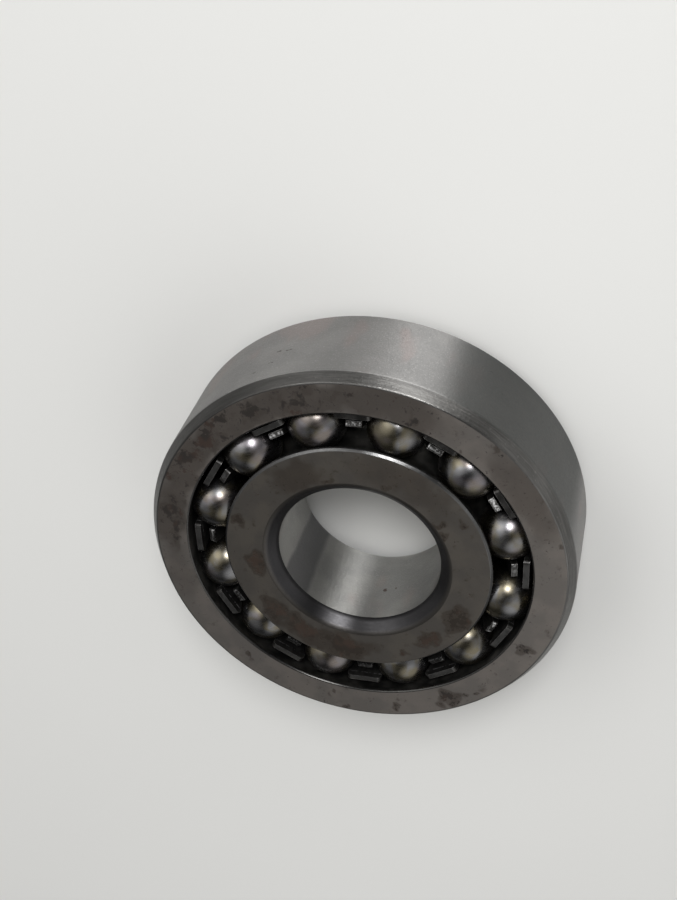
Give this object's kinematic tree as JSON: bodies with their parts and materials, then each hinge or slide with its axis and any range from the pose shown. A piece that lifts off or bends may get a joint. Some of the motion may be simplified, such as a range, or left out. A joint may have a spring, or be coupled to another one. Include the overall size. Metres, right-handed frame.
{
  "type": "self-aligning ball bearing",
  "caption": "Self-aligning ball bearing: staggered rows of balls in a pressed sheet cage between a grooved inner ring and an outer ring with a spherical raceway.",
  "frame": {"origin": "centre of the bearing, where its axis meets the middle plane between the rows of balls", "axes": "+Z along the bearing's axis, up from the side face it lies on; +X through a ball of the upper row"},
  "size_m": [0.052, 0.052, 0.015],
  "materials": {
    "outer_ring_steel": "ground steel, darkened and stained side faces, satin rim",
    "inner_ring_steel": "ground steel, darkened and stained side faces, satin bore",
    "ball_steel": "polished bearing steel with a thin oil film",
    "cage_sheet": "dark oily pressed steel sheet"
  },
  "bodies": {
    "outer_ring": {"outer_ring": "outer_ring_steel"},
    "pivot_ball": {"ball_front_01": "ball_steel"},
    "cage": {"cage": "cage_sheet"},
    "inner_ring": {"inner_ring": "inner_ring_steel"},
    "ball_front_02": {"ball_front_02": "ball_steel"},
    "ball_front_03": {"ball_front_03": "ball_steel"},
    "ball_front_04": {"ball_front_04": "ball_steel"},
    "ball_front_05": {"ball_front_05": "ball_steel"},
    "ball_front_06": {"ball_front_06": "ball_steel"},
    "ball_front_07": {"ball_front_07": "ball_steel"},
    "ball_front_08": {"ball_front_08": "ball_steel"},
    "ball_front_09": {"ball_front_09": "ball_steel"},
    "ball_front_10": {"ball_front_10": "ball_steel"},
    "ball_front_11": {"ball_front_11": "ball_steel"},
    "ball_front_12": {"ball_front_12": "ball_steel"},
    "ball_back_01": {"ball_back_01": "ball_steel"},
    "ball_back_02": {"ball_back_02": "ball_steel"},
    "ball_back_03": {"ball_back_03": "ball_steel"},
    "ball_back_04": {"ball_back_04": "ball_steel"},
    "ball_back_05": {"ball_back_05": "ball_steel"},
    "ball_back_06": {"ball_back_06": "ball_steel"},
    "ball_back_07": {"ball_back_07": "ball_steel"},
    "ball_back_08": {"ball_back_08": "ball_steel"},
    "ball_back_09": {"ball_back_09": "ball_steel"},
    "ball_back_10": {"ball_back_10": "ball_steel"},
    "ball_back_11": {"ball_back_11": "ball_steel"},
    "ball_back_12": {"ball_back_12": "ball_steel"}
  },
  "joints": [
    {"name": "cage_orbit", "type": "hinge", "parent": "outer_ring", "child": "pivot_ball", "pos_m": [0, 0, 0], "axis": [0, 0, 1], "continuous": true},
    {"name": "swivel", "type": "hinge", "parent": "pivot_ball", "child": "cage", "pos_m": [0, 0, 0], "axis": [0.979, 0, 0.2038], "range_deg": [-3, 3]},
    {"name": "inner_spin", "type": "hinge", "parent": "cage", "child": "inner_ring", "pos_m": [0, 0, 0], "axis": [0, 0, 1], "continuous": true},
    {"name": "ball_front_02_spin", "type": "hinge", "parent": "cage", "child": "ball_front_02", "pos_m": [0.0158, 0.00912, 0.0038], "axis": [-0.1765, -0.1019, 0.979], "continuous": true},
    {"name": "ball_front_03_spin", "type": "hinge", "parent": "cage", "child": "ball_front_03", "pos_m": [0.00912, 0.0158, 0.0038], "axis": [-0.1019, -0.1765, 0.979], "continuous": true},
    {"name": "ball_front_04_spin", "type": "hinge", "parent": "cage", "child": "ball_front_04", "pos_m": [0, 0.01825, 0.0038], "axis": [0, -0.2038, 0.979], "continuous": true},
    {"name": "ball_front_05_spin", "type": "hinge", "parent": "cage", "child": "ball_front_05", "pos_m": [-0.00912, 0.0158, 0.0038], "axis": [0.1019, -0.1765, 0.979], "continuous": true},
    {"name": "ball_front_06_spin", "type": "hinge", "parent": "cage", "child": "ball_front_06", "pos_m": [-0.0158, 0.00912, 0.0038], "axis": [0.1765, -0.1019, 0.979], "continuous": true},
    {"name": "ball_front_07_spin", "type": "hinge", "parent": "cage", "child": "ball_front_07", "pos_m": [-0.01825, 0, 0.0038], "axis": [0.2038, 0, 0.979], "continuous": true},
    {"name": "ball_front_08_spin", "type": "hinge", "parent": "cage", "child": "ball_front_08", "pos_m": [-0.0158, -0.00912, 0.0038], "axis": [0.1765, 0.1019, 0.979], "continuous": true},
    {"name": "ball_front_09_spin", "type": "hinge", "parent": "cage", "child": "ball_front_09", "pos_m": [-0.00912, -0.0158, 0.0038], "axis": [0.1019, 0.1765, 0.979], "continuous": true},
    {"name": "ball_front_10_spin", "type": "hinge", "parent": "cage", "child": "ball_front_10", "pos_m": [0, -0.01825, 0.0038], "axis": [0, 0.2038, 0.979], "continuous": true},
    {"name": "ball_front_11_spin", "type": "hinge", "parent": "cage", "child": "ball_front_11", "pos_m": [0.00912, -0.0158, 0.0038], "axis": [-0.1019, 0.1765, 0.979], "continuous": true},
    {"name": "ball_front_12_spin", "type": "hinge", "parent": "cage", "child": "ball_front_12", "pos_m": [0.0158, -0.00912, 0.0038], "axis": [-0.1765, 0.1019, 0.979], "continuous": true},
    {"name": "ball_back_01_spin", "type": "hinge", "parent": "cage", "child": "ball_back_01", "pos_m": [0.01763, 0.00472, -0.0038], "axis": [0.1969, 0.0528, 0.979], "continuous": true},
    {"name": "ball_back_02_spin", "type": "hinge", "parent": "cage", "child": "ball_back_02", "pos_m": [0.0129, 0.0129, -0.0038], "axis": [0.1441, 0.1441, 0.979], "continuous": true},
    {"name": "ball_back_03_spin", "type": "hinge", "parent": "cage", "child": "ball_back_03", "pos_m": [0.00472, 0.01763, -0.0038], "axis": [0.0528, 0.1969, 0.979], "continuous": true},
    {"name": "ball_back_04_spin", "type": "hinge", "parent": "cage", "child": "ball_back_04", "pos_m": [-0.00472, 0.01763, -0.0038], "axis": [-0.0528, 0.1969, 0.979], "continuous": true},
    {"name": "ball_back_05_spin", "type": "hinge", "parent": "cage", "child": "ball_back_05", "pos_m": [-0.0129, 0.0129, -0.0038], "axis": [-0.1441, 0.1441, 0.979], "continuous": true},
    {"name": "ball_back_06_spin", "type": "hinge", "parent": "cage", "child": "ball_back_06", "pos_m": [-0.01763, 0.00472, -0.0038], "axis": [-0.1969, 0.0528, 0.979], "continuous": true},
    {"name": "ball_back_07_spin", "type": "hinge", "parent": "cage", "child": "ball_back_07", "pos_m": [-0.01763, -0.00472, -0.0038], "axis": [-0.1969, -0.0528, 0.979], "continuous": true},
    {"name": "ball_back_08_spin", "type": "hinge", "parent": "cage", "child": "ball_back_08", "pos_m": [-0.0129, -0.0129, -0.0038], "axis": [-0.1441, -0.1441, 0.979], "continuous": true},
    {"name": "ball_back_09_spin", "type": "hinge", "parent": "cage", "child": "ball_back_09", "pos_m": [-0.00472, -0.01763, -0.0038], "axis": [-0.0528, -0.1969, 0.979], "continuous": true},
    {"name": "ball_back_10_spin", "type": "hinge", "parent": "cage", "child": "ball_back_10", "pos_m": [0.00472, -0.01763, -0.0038], "axis": [0.0528, -0.1969, 0.979], "continuous": true},
    {"name": "ball_back_11_spin", "type": "hinge", "parent": "cage", "child": "ball_back_11", "pos_m": [0.0129, -0.0129, -0.0038], "axis": [0.1441, -0.1441, 0.979], "continuous": true},
    {"name": "ball_back_12_spin", "type": "hinge", "parent": "cage", "child": "ball_back_12", "pos_m": [0.01763, -0.00472, -0.0038], "axis": [0.1969, -0.0528, 0.979], "continuous": true}
  ],
  "couplings": [
    {"joint": "inner_spin", "follows": "cage_orbit", "ratio": 1.4741},
    {"joint": "ball_front_02_spin", "follows": "cage_orbit", "ratio": -6.0882},
    {"joint": "ball_front_03_spin", "follows": "cage_orbit", "ratio": -6.0882},
    {"joint": "ball_front_04_spin", "follows": "cage_orbit", "ratio": -6.0882},
    {"joint": "ball_front_05_spin", "follows": "cage_orbit", "ratio": -6.0882},
    {"joint": "ball_front_06_spin", "follows": "cage_orbit", "ratio": -6.0882},
    {"joint": "ball_front_07_spin", "follows": "cage_orbit", "ratio": -6.0882},
    {"joint": "ball_front_08_spin", "follows": "cage_orbit", "ratio": -6.0882},
    {"joint": "ball_front_09_spin", "follows": "cage_orbit", "ratio": -6.0882},
    {"joint": "ball_front_10_spin", "follows": "cage_orbit", "ratio": -6.0882},
    {"joint": "ball_front_11_spin", "follows": "cage_orbit", "ratio": -6.0882},
    {"joint": "ball_front_12_spin", "follows": "cage_orbit", "ratio": -6.0882},
    {"joint": "ball_back_01_spin", "follows": "cage_orbit", "ratio": -6.0882},
    {"joint": "ball_back_02_spin", "follows": "cage_orbit", "ratio": -6.0882},
    {"joint": "ball_back_03_spin", "follows": "cage_orbit", "ratio": -6.0882},
    {"joint": "ball_back_04_spin", "follows": "cage_orbit", "ratio": -6.0882},
    {"joint": "ball_back_05_spin", "follows": "cage_orbit", "ratio": -6.0882},
    {"joint": "ball_back_06_spin", "follows": "cage_orbit", "ratio": -6.0882},
    {"joint": "ball_back_07_spin", "follows": "cage_orbit", "ratio": -6.0882},
    {"joint": "ball_back_08_spin", "follows": "cage_orbit", "ratio": -6.0882},
    {"joint": "ball_back_09_spin", "follows": "cage_orbit", "ratio": -6.0882},
    {"joint": "ball_back_10_spin", "follows": "cage_orbit", "ratio": -6.0882},
    {"joint": "ball_back_11_spin", "follows": "cage_orbit", "ratio": -6.0882},
    {"joint": "ball_back_12_spin", "follows": "cage_orbit", "ratio": -6.0882}
  ]
}
